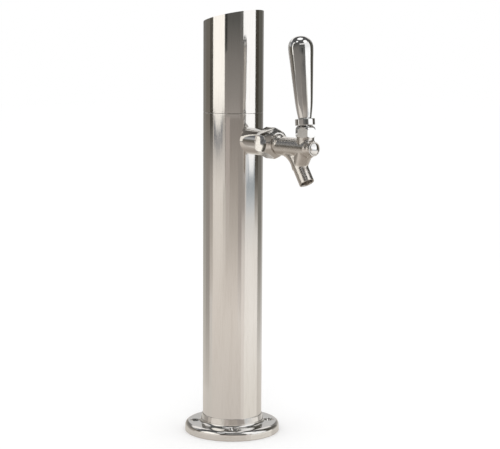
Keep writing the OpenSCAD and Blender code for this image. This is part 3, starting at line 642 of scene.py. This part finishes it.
# rear face, boss, spout tip and post are cut square
def squareEnds(v):
    lean = math.radians(v["lean"])
    bpy.ops.object.mode_set(mode="EDIT")
    for place, normal in (((0, 0), (0, 1, 0)), ((v["bossTo"], 0), (0, -1, 0)),
                          (v["tip"], (0, -math.sin(lean), -math.cos(lean))),
                          ((0, v["postTop"]), (0, 0, 1))):
        bpy.ops.mesh.select_all(action="SELECT")
        bpy.ops.mesh.bisect(plane_co=bodyPlace(*place), plane_no=normal, use_fill=True,
                            clear_outer=True)
    bpy.ops.object.mode_set(mode="OBJECT")


# bars, bend and cones run into each other, and one skin is drawn over them all
def makeBodyShape(v):
    neckTo, slopeTo, edge = v["neckL"], v["neckL"] + v["slopeL"], v["barrelEdge"]
    neck = frontBar("faucetBody", [(0, -v["past"]), (v["neckR"], -v["past"]), (v["neckR"], neckTo),
                                   (v["neckR"] - v["drop"], slopeTo), (0, slopeTo)], 0)
    barrel = frontBar("barrel", [
        (0, v["barrelFrom"]), (v["barrelR"] - edge, v["barrelFrom"]),
        (v["barrelR"], v["barrelFrom"] + edge), (v["barrelR"], v["noseFrom"]),
        (v["noseR"], v["barrelTo"]), (v["bossR"], v["barrelTo"]),
        (v["bossR"], v["bossTo"] + v["past"]), (0, v["bossTo"] + v["past"])], v["drop"])
    post = turned("post", barLine(v["postR"], -v["drop"], v["postTop"] + v["past"]))
    settle(post, bodyPoint(v["postAt"], 0))
    bend = makeBend(v)
    spout = turned("spout", barLine(v["spoutR"], -v["spoutPast"], v["spoutRun"]))
    settle(spout, bodyPoint(*v["tip"]), (-v["lean"], 0, 0))
    cones = [makeCone(v[key], v["roundTop"]) for key in ("chest", "web")]
    body = joinPieces([neck, barrel, post, bend, spout] + cones)
    applyModifier(body, "REMESH", mode="VOXEL", voxel_size=v["voxel"] * mm)
    applyModifier(body, "SMOOTH", factor=v["smoothBy"], iterations=v["smooth"])
    squareEnds(v)
    return body


# mouth and lip are (wider, further) than the bore at the spout's tip and the boss's hollow
innerValues = {"inletR": 10.2, "inletTo": 10.9, "seatR": 3.9, "seatFrom": 5, "seatTo": 39.3,
               "guideR": 5.55, "guideFrom": 37.3, "plugR": 6.45, "plugFrom": 70.2, "headR": 7.4,
               "headFrom": 72.8, "lip": ((0.05, -0.3), (0.6, 0.3), (0.6, past)), "cupR": 8.2,
               "cupUp": 11.9, "cupTo": 26, "spigotR": 9.6, "spigotTop": 20.3, "boreBack": 14,
               "boreTurns": range(0, 91, 15), "mouth": ((1.2, -0.9), (0.05, 0.6), (0, 0.9)),
               "slotAt": (55.4, 4.6), "slotSize": (6.8, 13.2, 16)}


# the slot that the lever's finger swings in
def makeSlot(w):
    middle = bodyPlace(*w["slotAt"])
    deselectAll()
    bpy.ops.mesh.primitive_cube_add(size=mm, location=middle)
    slot = bpy.context.object
    bpy.ops.object.mode_set(mode="EDIT")
    bpy.ops.transform.resize(value=w["slotSize"], center_override=middle)
    bpy.ops.object.mode_set(mode="OBJECT")
    applyPlace()
    return slot


def cutBody(body, v, w):
    post, bore, deep = bodyPoint(v["postAt"], 0), v["spoutBore"], w["boreBack"] + v["spoutRun"]
    spigot = turned("spigot", barLine(w["spigotR"], v["postTop"] - past, w["spigotTop"]), steps=64)
    combine(body, settle(spigot, post), "UNION")
    ball = [(bore * math.cos(a), deep + bore * math.sin(a)) for a in map(math.radians, w["boreTurns"])]
    tool = turned("tool", [(0, -past)] + [(bore + wide, up) for wide, up in w["mouth"]] + ball,
                  steps=64)
    settle(tool, bodyPoint(*v["tip"]), (-v["lean"], 0, 0))
    guide = [(0, w["guideFrom"]), (w["guideR"], w["guideFrom"]), (w["guideR"], w["plugFrom"]),
             (w["plugR"], w["plugFrom"]), (w["plugR"], w["headFrom"]), (w["headR"], w["headFrom"])]
    guide += [(w["headR"] + wide, v["bossTo"] + on) for wide, on in w["lip"]] + [(0, v["bossTo"] + past)]
    for outline, drop in ((barLine(w["inletR"], -past, w["inletTo"]), 0),
                          (barLine(w["seatR"], w["seatFrom"], w["seatTo"]), v["drop"]),
                          (guide, v["drop"])):
        combine(tool, frontBar("bar", outline, drop, steps=64), "UNION")
    cup = turned("cup", barLine(w["cupR"], w["cupUp"], w["cupTo"]), steps=64)
    combine(tool, settle(cup, post), "UNION")
    combine(tool, makeSlot(w), "UNION")
    return combine(body, tool)


def makeFaucetBody():
    body = makeBodyShape(bodyValues)
    cutBody(body, bodyValues, innerValues)
    selectOnly(body)
    bpy.ops.object.shade_smooth_by_angle(angle=math.radians(bodyValues["sharp"]))
    return finishPiece(body, finishes["castChrome"], "faucet_chrome", "tower", "faucet_body")


makeFaucetBody()
say("faucet body made")


# front plug, and bonnet with its heights from the lever's pivot; swell is how far the bonnet's
# shoulder stands (out, up) from a straight slope
plugValues = {"threadR": 6.4, "threadEdge": 0.2, "from": 69.2, "seat": 72.85, "headR": 6.9,
              "edge": 0.35, "front": 74.5, "dome": 1.5}
bonnetValues = {"cornerR": 12.7, "foot": -8.2, "top": 5.9, "faceR": 8.5, "cornerTop": 0.9,
                "chamfer": 1.6, "proud": 0.05, "swell": (0.5, 0.4), "bore": 9.65, "boreTop": 3.1,
                "mouthLow": 6.08, "mouthTop": 7.57, "edge": 0.25}
pivot = (0, -139.6, 397.6)


def makePlug(v):
    ball = (v["headR"] ** 2 + v["dome"] ** 2) / (2 * v["dome"])
    top = v["front"] + v["dome"]
    dome = ballLine(ball, top - ball, math.asin(v["headR"] / ball), 0)[1:-1]
    outline = roundCorners([
        (0, v["from"], 0), (v["threadR"], v["from"], v["threadEdge"]), (v["threadR"], v["seat"], 0),
        (v["headR"], v["seat"], 0), (v["headR"], v["front"], v["edge"]), (*dome[0], 0)])
    plug = frontBar("frontPlug", outline + dome[1:] + [(0, top)], bodyValues["drop"], steps=72)
    polishNormals(plug)
    return finishPiece(plug, finishes["handleChrome"], "faucet_chrome", "tower", "front_plug")


def makeBonnet(v):
    r, foot, top = v["cornerR"], v["foot"], v["top"]
    low, outer = foot - nutValues["overlap"], r + v["proud"]
    halfway = ((r + v["faceR"]) / 2 + v["swell"][0], (v["cornerTop"] + top) / 2 + v["swell"][1])
    outline = [(0, low), (r - v["chamfer"], low), (outer, foot + v["chamfer"])]
    outline += softLine([(outer, v["cornerTop"]), halfway, (v["faceR"], top)], parts=5) + [(0, top)]
    bore = [(0, foot - past), (v["bore"], foot - past), (v["bore"], v["boreTop"]),
            (v["mouthLow"], v["boreTop"]), (v["mouthTop"], top + v["proud"]),
            (v["mouthTop"], top + past), (0, top + past)]
    bonnet = hexNut("bonnetNut", r, foot, top + nutValues["over"], outline, bore, turn=30,
                    edge=v["edge"], steps=96)
    settle(bonnet, pivot)
    return finishPiece(bonnet, finishes["handleChrome"], "faucet_chrome", "tower", "bonnet")


makePlug(plugValues)
makeBonnet(bonnetValues)
say("plug and bonnet made")


# ferrule and handle, on the lever's leaning axis; side is (radius, height over the foot)
leverLean = 6
ferruleValues = {"r": 11.9, "foot": 6.1, "top": 14.1, "wall": 1.3, "web": 3.3, "bore": 4.8, "edge": 1.0,
                 "footEdge": 0.5, "innerEdge": 0.3, "boreEdge": 0.2}
handleValues = {"foot": 14.2, "boreR": 6.25, "boreTop": 30.0, "boreEdge": 0.3,
                "footRound": ((-0.5, 0), (-0.15, 0.18)), "side": [
                    (8.0, 0.6), (8.5, 3.9), (9.35, 9.2), (10.25, 16.0), (10.95, 23.8), (11.9, 37.4),
                    (12.95, 52.0), (14.0, 67.6), (14.85, 78.3), (15.1, 84.4)],
                "domeR": 15.1, "domeH": 14.2, "full": 0.86,
                "domeTurns": (6, 13, 20, 27, 34, 41, 48, 55, 62, 69, 76, 82, 87)}


def makeFerrule(v):
    inner, under, edge = v["r"] - v["wall"], v["top"] - v["web"], v["innerEdge"]
    ferrule = turned("ferrule", roundCorners([
        (inner, under, edge), (inner, v["foot"], edge), (v["r"], v["foot"], v["footEdge"]),
        (v["r"], v["top"], v["edge"]), (v["bore"], v["top"], v["boreEdge"]),
        (v["bore"], under, v["boreEdge"])]), steps=96)
    settle(ferrule, pivot, (-leverLean, 0, 0))
    polishNormals(ferrule)
    return finishPiece(ferrule, finishes["handleChrome"], "handle_chrome", "lever_handle", "ferrule")


def makeHandle(v):
    foot, bore, edge = v["foot"], v["boreR"], v["boreEdge"]
    side = [(r, foot + h) for r, h in softLine(v["side"], parts=3)]
    footR, high = side[0][0], side[-1][1]
    dome = [(v["domeR"] * math.cos(a) ** v["full"], high + v["domeH"] * math.sin(a))
            for a in map(math.radians, v["domeTurns"])]
    outline = [(bore, foot + edge), (bore + edge, foot)]
    outline += [(footR + wide, foot + up) for wide, up in v["footRound"]] + side + dome
    outline += [(0, high + v["domeH"]), (0, v["boreTop"]), (bore, v["boreTop"])]
    handle = turned("tapHandle", outline, steps=128)
    settle(handle, pivot, (-leverLean, 0, 0))
    polishNormals(handle, angle=45)
    return finishPiece(handle, finishes["handleChrome"], "handle_chrome", "lever_handle", "handle")


makeFerrule(ferruleValues)
makeHandle(handleValues)
say("ferrule and handle made")


# finishes of the CAD nodes; a node that isn't named here has a piece in its place
nodeFinishes = {
    # the cap sleeve's finish carries the painted highlight of the pale seam line
    "base_gasket": "blackRubber", "cap_sleeve": "seamHighlightSteel", "cap_rings": "blackRubber",
    "backing_saddle": "plainSteel", "shank": "polishedSteel", "lock_nut": "brass",
    "elbow_washer": "blackRubber", "elbow": "plainSteel", "elbow_nut": "brass",
    "beer_line": "clearLine", "hose_clamps": "plainSteel", "line_joiner": "brass",
    "foam_sleeve": "foam", "coupling_washer": "blackRubber", "snap_ring": "plainSteel",
    "seat_washer": "blackRubber", "shaft_nut": "brass", "shaft": "plainSteel",
    "ball_cup": "whitePlastic", "ball_washer": "whitePlastic", "lever": "handleChrome",
    "handle_insert": "brass"}
for name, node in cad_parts.items():
    node.data.materials.clear()
    node.data.materials.append(finishes[nodeFinishes.get(name, "polishedSteel")])
say("CAD nodes finished")


# stage, in metres: pale floor, soft light and a tent that only glossy rays see. Each panel of the
# tent goes from one turn to another, in degrees from the camera, at a distance from the middle,
# and has the colours of its shades at their heights
tentPanels = {
    "tentBack": {"from": -181, "to": 181, "away": 1.45, "shades": [
        (-0.75, (0.46, 0.42, 0.375)), (-0.3, (0.70, 0.66, 0.61)), (0.1, (0.70, 0.67, 0.64)),
        (0.3, (0.56, 0.55, 0.54)), (0.6, (0.62, 0.615, 0.61)), (0.85, (1.0, 0.97, 0.94)),
        (1.6, (1.0, 0.98, 0.96))]},
    "tentFront": {"from": -30, "to": 38, "away": 1.30, "shades": [
        (-0.75, (0.46, 0.41, 0.365)), (-0.3, (0.68, 0.63, 0.58)), (-0.1, (0.78, 0.72, 0.66)),
        (0.0, (0.69, 0.63, 0.575)), (0.08, (0.56, 0.51, 0.46)), (0.21, (0.41, 0.37, 0.33)),
        (0.31, (0.29, 0.26, 0.235)), (0.45, (0.22, 0.205, 0.19)), (0.52, (0.14, 0.137, 0.13)),
        (1.2, (0.09, 0.09, 0.09))]},
    "frontGlow": {"from": -27, "to": -12, "away": 1.29, "shades": [
        (0.03, (0.62, 0.57, 0.52)), (0.25, (0.48, 0.43, 0.395)), (0.38, (0.41, 0.36, 0.33)),
        (0.45, (0.34, 0.29, 0.27)), (0.485, (0.18, 0.16, 0.15))]},
    "frontDark": {"from": -31, "to": -17, "away": 1.28, "shades": [
        (0.485, (0.09, 0.085, 0.08)), (0.60, (0.035, 0.035, 0.035)), (1.6, (0.03, 0.03, 0.03))]},
    "frontBoard": {"from": -47, "to": -14, "away": 1.27, "shades": [
        (0.95, (0.06, 0.055, 0.05)), (1.6, (0.06, 0.055, 0.05))]},
    "handleCard": {"from": -29, "to": 24, "away": 0.169, "shades": [
        (0.40, (0.36, 0.33, 0.305)), (0.43, (0.29, 0.268, 0.246)), (0.48, (0.215, 0.2, 0.185)),
        (0.53, (0.11, 0.108, 0.10)), (0.60, (0.07, 0.07, 0.07))]},
    "cardStreak": {"from": -29, "to": -20, "away": 0.167, "shades": [
        (0.488, (0.10, 0.098, 0.09)), (0.505, (0.045, 0.045, 0.04)), (0.60, (0.03, 0.03, 0.03))]},
    "frontStreak": {"from": 7, "to": 20, "away": 1.28, "shades": [
        (0.49, (0.12, 0.115, 0.11)), (0.53, (0.075, 0.075, 0.07)), (0.62, (0.05, 0.05, 0.05))]},
    "frontLow": {"from": 20, "to": 47, "away": 1.29, "shades": [
        (-0.12, (0.84, 0.79, 0.74)), (-0.01, (0.60, 0.55, 0.51)), (0.08, (0.42, 0.38, 0.35)),
        (0.25, (0.33, 0.30, 0.27))]},
    "leftBox": {"from": -82, "to": -30, "away": 1.30, "shades": [
        (0.341, (1.10, 1.06, 0.99)), (0.39, (1.22, 1.18, 1.11)), (1.6, (1.25, 1.22, 1.16))]},
    "leftTip": {"from": -75, "to": -42, "away": 1.29, "shades": [
        (0.325, (1.04, 1.0, 0.93)), (0.341, (1.10, 1.06, 0.99))]},
    "leftPoint": {"from": -69, "to": -48, "away": 1.285, "shades": [
        (0.308, (0.98, 0.94, 0.88)), (0.325, (1.04, 1.0, 0.93))]},
    "leftRim": {"from": -77, "to": -40, "away": 1.295, "shades": [
        (0.272, (0.36, 0.355, 0.355)), (0.287, (0.19, 0.195, 0.21)), (0.31, (0.16, 0.17, 0.19)),
        (0.335, (0.28, 0.28, 0.28))]},
    "leftDrop": {"from": -69, "to": -50, "away": 1.295, "shades": [
        (0.245, (0.68, 0.64, 0.59)), (0.272, (0.31, 0.31, 0.31))]},
    "leftFoot": {"from": -84, "to": -30, "away": 1.31, "shades": [
        (-0.75, (0.46, 0.42, 0.375)), (-0.3, (0.70, 0.65, 0.60)), (-0.1, (0.77, 0.71, 0.65)),
        (0.19, (0.82, 0.77, 0.71)), (0.26, (0.62, 0.58, 0.54)), (0.341, (0.34, 0.32, 0.29))]},
    "rightBox": {"from": 38, "to": 92, "away": 1.30, "shades": [
        (0.25, (1.18, 1.18, 1.18)), (0.30, (1.22, 1.22, 1.22)), (0.55, (1.22, 1.22, 1.22)),
        (0.7, (1.02, 1.02, 1.02)), (1.6, (1.02, 1.02, 1.02))]},
    "rightTip": {"from": 64, "to": 86, "away": 1.29, "shades": [
        (0.213, (1.05, 1.07, 1.08)), (0.25, (1.18, 1.18, 1.18))]},
    "rightCream": {"from": 38, "to": 49, "away": 1.285, "shades": [
        (0.20, (0.44, 0.41, 0.385)), (0.35, (0.52, 0.49, 0.45)), (0.45, (0.80, 0.77, 0.71)),
        (0.50, (1.2, 1.2, 1.2))]},
    "rightRim": {"from": 52, "to": 92, "away": 1.30, "shades": [
        (0.125, (0.72, 0.73, 0.74)), (0.16, (0.50, 0.53, 0.55)), (0.19, (0.31, 0.35, 0.38)),
        (0.21, (0.36, 0.40, 0.43)), (0.25, (0.74, 0.76, 0.78))]},
    "rightSide": {"from": 50, "to": 60, "away": 1.29, "shades": [
        (0.20, (0.60, 0.62, 0.64)), (0.30, (0.95, 0.96, 0.97))]},
    "rightFoot": {"from": 46, "to": 112, "away": 1.295, "shades": [
        (-0.75, (0.50, 0.46, 0.41)), (-0.28, (0.86, 0.82, 0.76)), (-0.1, (0.98, 0.94, 0.89)),
        (0.04, (0.92, 0.88, 0.83)), (0.13, (0.72, 0.71, 0.69))]},
    "rightSoft": {"from": 34, "to": 46, "away": 1.285, "shades": [
        (-0.75, (0.48, 0.44, 0.39)), (-0.28, (0.77, 0.72, 0.67)), (-0.1, (0.87, 0.81, 0.76)),
        (0.04, (0.76, 0.71, 0.66)), (0.13, (0.52, 0.48, 0.45))]},
    "leftSoft": {"from": -38, "to": -27, "away": 1.285, "shades": [
        (-0.75, (0.46, 0.42, 0.37)), (-0.3, (0.69, 0.64, 0.59)), (-0.1, (0.77, 0.71, 0.65)),
        (0.06, (0.72, 0.665, 0.61)), (0.19, (0.60, 0.56, 0.51))]},
    "leftFlag": {"from": -99, "to": -82, "away": 1.28, "shades": [
        (-0.05, (0.66, 0.61, 0.56)), (0.08, (0.50, 0.455, 0.41)), (0.21, (0.38, 0.345, 0.31)),
        (0.28, (0.20, 0.185, 0.165)), (0.32, (0.075, 0.068, 0.055)), (0.60, (0.10, 0.092, 0.075)),
        (0.9, (0.13, 0.135, 0.14)), (1.6, (0.17, 0.175, 0.185))]},
    "leftShade": {"from": -126, "to": -99, "away": 1.28, "shades": [
        (-0.25, (0.64, 0.60, 0.55)), (-0.1, (0.44, 0.41, 0.375)), (0.0, (0.36, 0.33, 0.30)),
        (0.21, (0.31, 0.28, 0.25)), (0.38, (0.18, 0.16, 0.135)), (0.60, (0.16, 0.15, 0.135)),
        (0.70, (0.46, 0.465, 0.47)), (0.85, (0.40, 0.405, 0.41)), (1.0, (0.16, 0.165, 0.175)),
        (1.6, (0.17, 0.175, 0.185))]},
    "leftEdge": {"from": -166, "to": -126, "away": 1.28, "shades": [
        (-0.25, (0.66, 0.63, 0.58)), (0.0, (0.46, 0.44, 0.40)), (0.30, (0.26, 0.245, 0.22)),
        (0.60, (0.16, 0.155, 0.15)), (0.75, (0.30, 0.29, 0.28))]},
    "rightFlag": {"from": 92, "to": 112, "away": 1.28, "shades": [
        (0.10, (0.72, 0.69, 0.65)), (0.15, (0.38, 0.355, 0.32)), (0.20, (0.14, 0.128, 0.11)),
        (0.26, (0.062, 0.056, 0.044)), (1.6, (0.065, 0.06, 0.048))]},
    "rightShade": {"from": 112, "to": 142, "away": 1.28, "shades": [
        (-0.20, (0.72, 0.69, 0.65)), (-0.1, (0.54, 0.515, 0.48)), (0.0, (0.38, 0.36, 0.33)),
        (0.10, (0.24, 0.23, 0.205)), (0.20, (0.20, 0.19, 0.17)), (0.35, (0.125, 0.12, 0.105)),
        (1.6, (0.10, 0.10, 0.095))]},
    "rightEdge": {"from": 142, "to": 166, "away": 1.28, "shades": [
        (-0.20, (0.76, 0.74, 0.71)), (0.10, (0.46, 0.445, 0.42)), (0.35, (0.26, 0.25, 0.235)),
        (0.80, (0.18, 0.175, 0.17))]},
}
tentRounds = {
    "ceiling": {"place": (0, 0, 1.6), "r": 1.46, "colour": (0.10, 0.10, 0.10)},
    "ceilingLamp": {"place": (0, 0, 1.585), "r": 0.34, "colour": (1.25, 1.25, 1.24)},
    "sideLamp": {"place": (-0.86, -0.13, 1.58), "r": 0.22, "colour": (1.6, 1.6, 1.58)},
    "rightLamp": {"place": (0.387, -0.975, 1.59), "r": 0.44, "colour": (1.4, 1.39, 1.37)},
    "tableTop": {"place": (0, 0, -0.75), "r": 1.46, "colour": (0.44, 0.395, 0.35)},
}
tentValues = {"facing": 231, "stepTurn": 3, "fewest": 4, "roundPoints": 48}
floorValues = {"size": 14, "height": -0.0002, "colour": (1.0, 1.0, 1.0)}
worldValues = {"seen": (1.0, 1.0, 1.0), "reflected": (0.80, 0.80, 0.80)}
lampValues = {"power": 12, "place": (-1.4, -1.9, 2.3), "size": 1.6, "aim": (0, 0, 0.25)}


def glossyOnly(thing):
    for ray in ("camera", "diffuse", "transmission", "volume_scatter", "shadow"):
        setattr(thing, "visible_" + ray, False)


def stageMaterial(name):
    material = bpy.data.materials.new(name)
    return (material, *emptyTree(material, "Material"))


def addGlow(panel, name, colourOf):
    material, tree, out = stageMaterial(name)
    glow = addNode(tree, "Emission", {"Color": colourOf(tree), "Strength": 1.0})
    setInputs(tree, out, {"Surface": glow.outputs[0]})
    panel.data.materials.append(material)
    glossyOnly(panel)


# a ramp of colours up a panel
def shadeRamp(tree, shades):
    low, high = shades[0][0], shades[-1][0]
    where = addNode(tree, "TexCoord", {}).outputs["Object"]
    height = addNode(tree, "SeparateXYZ", {0: where}).outputs["Z"]
    spread = addNode(tree, "MapRange", {"Value": height, "From Min": low, "From Max": high})
    ramp = addNode(tree, "ValToRGB", {"Fac": spread.outputs["Result"]})
    stops = ramp.color_ramp.elements
    while len(stops) < len(shades):
        stops.new(0.5)
    for stop, (height, colour) in zip(stops, shades):
        stop.position = (height - low) / (high - low)
    for stop, (height, colour) in zip(sorted(stops, key=lambda s: s.position), shades):
        stop.color = (*colour, 1)
    return ramp.outputs["Color"]


def makePanel(name, v, tent):
    low, high = v["shades"][0][0], v["shades"][-1][0]
    first = math.radians(tent["facing"]) + math.radians(v["from"])
    wide = v["to"] - v["from"]
    panel = onePoint(name, (v["away"] * math.cos(first), v["away"] * math.sin(first), low))
    bpy.ops.mesh.extrude_region_move(TRANSFORM_OT_translate={"value": (0, 0, high - low)})
    bpy.ops.mesh.select_all(action="SELECT")
    bpy.ops.mesh.spin(steps=max(tent["fewest"], round(wide / tent["stepTurn"])), axis=(0, 0, 1),
                      angle=-math.radians(wide), center=(0, 0, 0))
    bpy.ops.object.mode_set(mode="OBJECT")
    addGlow(panel, name, lambda tree: shadeRamp(tree, v["shades"]))
    return panel


def makeRound(name, v, tent):
    deselectAll()
    bpy.ops.mesh.primitive_circle_add(vertices=tent["roundPoints"], radius=v["r"], fill_type="NGON",
                                      location=v["place"])
    panel = bpy.context.object
    panel.name = panel.data.name = name
    addGlow(panel, name, lambda tree: (*v["colour"], 1))
    return panel


def makeFloor(v):
    deselectAll()
    bpy.ops.mesh.primitive_plane_add(size=v["size"], location=(0, 0, v["height"]))
    floor = bpy.context.object
    floor.name = floor.data.name = "floor"
    material, tree, out = stageMaterial("paleFloor")
    matte = addNode(tree, "BsdfDiffuse", {"Color": (*v["colour"], 1)})
    setInputs(tree, out, {"Surface": matte.outputs[0]})
    floor.data.materials.append(material)
    floor.visible_glossy = False
    return floor


def makeWorld(v):
    world = bpy.data.worlds.new("studio")
    scene.world = world
    tree, out = emptyTree(world, "World")
    glossy = addNode(tree, "LightPath", {}).outputs["Is Glossy Ray"]
    glow = addNode(tree, "Background", {"Color": mixColours(tree, glossy, v["seen"], v["reflected"]),
                                        "Strength": 1.0})
    setInputs(tree, out, {"Surface": glow.outputs[0]})


def makeLamp(v):
    bpy.ops.object.light_add(type="AREA", location=v["place"])
    lamp = bpy.context.object
    lamp.name = "keyLamp"
    lamp.data.energy = v["power"]
    lamp.data.size = v["size"]
    lamp.rotation_euler = (Vector(v["aim"]) - Vector(v["place"])).to_track_quat("-Z", "Y").to_euler()
    lamp.visible_glossy = False


for name, values in tentPanels.items():
    makePanel(name, values, tentValues)
for name, values in tentRounds.items():
    makeRound(name, values, tentValues)
makeFloor(floorValues)
makeWorld(worldValues)
makeLamp(lampValues)
scene.view_settings.view_transform = "Standard"
say("stage made")
